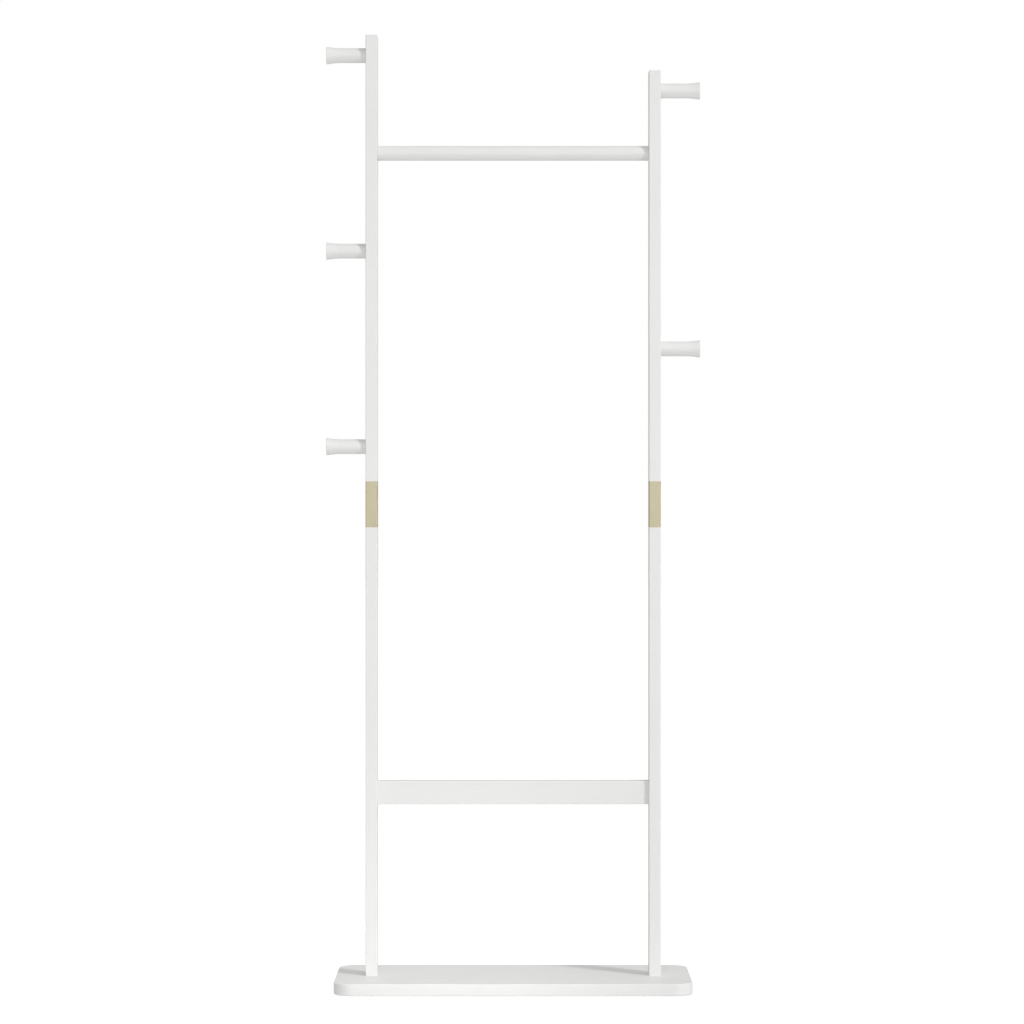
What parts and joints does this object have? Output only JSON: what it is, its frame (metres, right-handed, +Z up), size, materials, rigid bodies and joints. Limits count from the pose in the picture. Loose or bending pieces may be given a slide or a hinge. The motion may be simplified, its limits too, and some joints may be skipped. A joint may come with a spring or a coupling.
{
  "type": "free-standing coat rack",
  "caption": "Free-standing coat rack with uneven posts on a flat rounded base, joined by a round hanging rail and a low stretcher, with flared side pegs and gold ferrules.",
  "frame": {"origin": "on the floor, under the middle of the base", "axes": "+Z up, +X towards the object's right (the shorter post), -Y towards its front; the posts, the rail and the stretcher stand in the plane Y = 0"},
  "size_m": [0.634, 0.24, 1.615],
  "materials": {
    "white_lacquer": "satin white lacquer over solid wood, with very faint grain showing through",
    "gold_ferrule": "matte champagne-gold coating on a drawn metal sleeve",
    "zinc_steel": "bright zinc plating",
    "beech_dowel": "raw beech",
    "anti_slip_rubber": "matte soft rubber"
  },
  "bodies": {
    "root": {"base_plate": "white_lacquer", "front_left_pad": "anti_slip_rubber", "front_right_pad": "anti_slip_rubber", "hanging_rail": "white_lacquer", "left_barrel_nut": "zinc_steel", "left_base_bolts": "zinc_steel", "left_base_washers": "zinc_steel", "left_ferrule": "gold_ferrule", "left_ferrule_screws": "zinc_steel", "left_foot_inserts": "zinc_steel", "left_lower_post": "white_lacquer", "left_peg_1": "white_lacquer", "left_peg_2": "white_lacquer", "left_peg_3": "white_lacquer", "left_peg_insert_1": "zinc_steel", "left_peg_insert_2": "zinc_steel", "left_peg_insert_3": "zinc_steel", "left_peg_stud_1": "zinc_steel", "left_peg_stud_2": "zinc_steel", "left_peg_stud_3": "zinc_steel", "left_post_dowels": "beech_dowel", "left_rail_bolt": "zinc_steel", "left_rail_insert": "zinc_steel", "left_stretcher_bolt": "zinc_steel", "left_stretcher_dowels": "beech_dowel", "left_upper_post": "white_lacquer", "lower_stretcher": "white_lacquer", "rear_left_pad": "anti_slip_rubber", "rear_right_pad": "anti_slip_rubber", "right_barrel_nut": "zinc_steel", "right_base_bolts": "zinc_steel", "right_base_washers": "zinc_steel", "right_ferrule": "gold_ferrule", "right_ferrule_screws": "zinc_steel", "right_foot_inserts": "zinc_steel", "right_lower_post": "white_lacquer", "right_peg_1": "white_lacquer", "right_peg_2": "white_lacquer", "right_peg_insert_1": "zinc_steel", "right_peg_insert_2": "zinc_steel", "right_peg_stud_1": "zinc_steel", "right_peg_stud_2": "zinc_steel", "right_post_dowels": "beech_dowel", "right_rail_bolt": "zinc_steel", "right_rail_insert": "zinc_steel", "right_stretcher_bolt": "zinc_steel", "right_stretcher_dowels": "beech_dowel", "right_upper_post": "white_lacquer"}
  },
  "joints": []
}
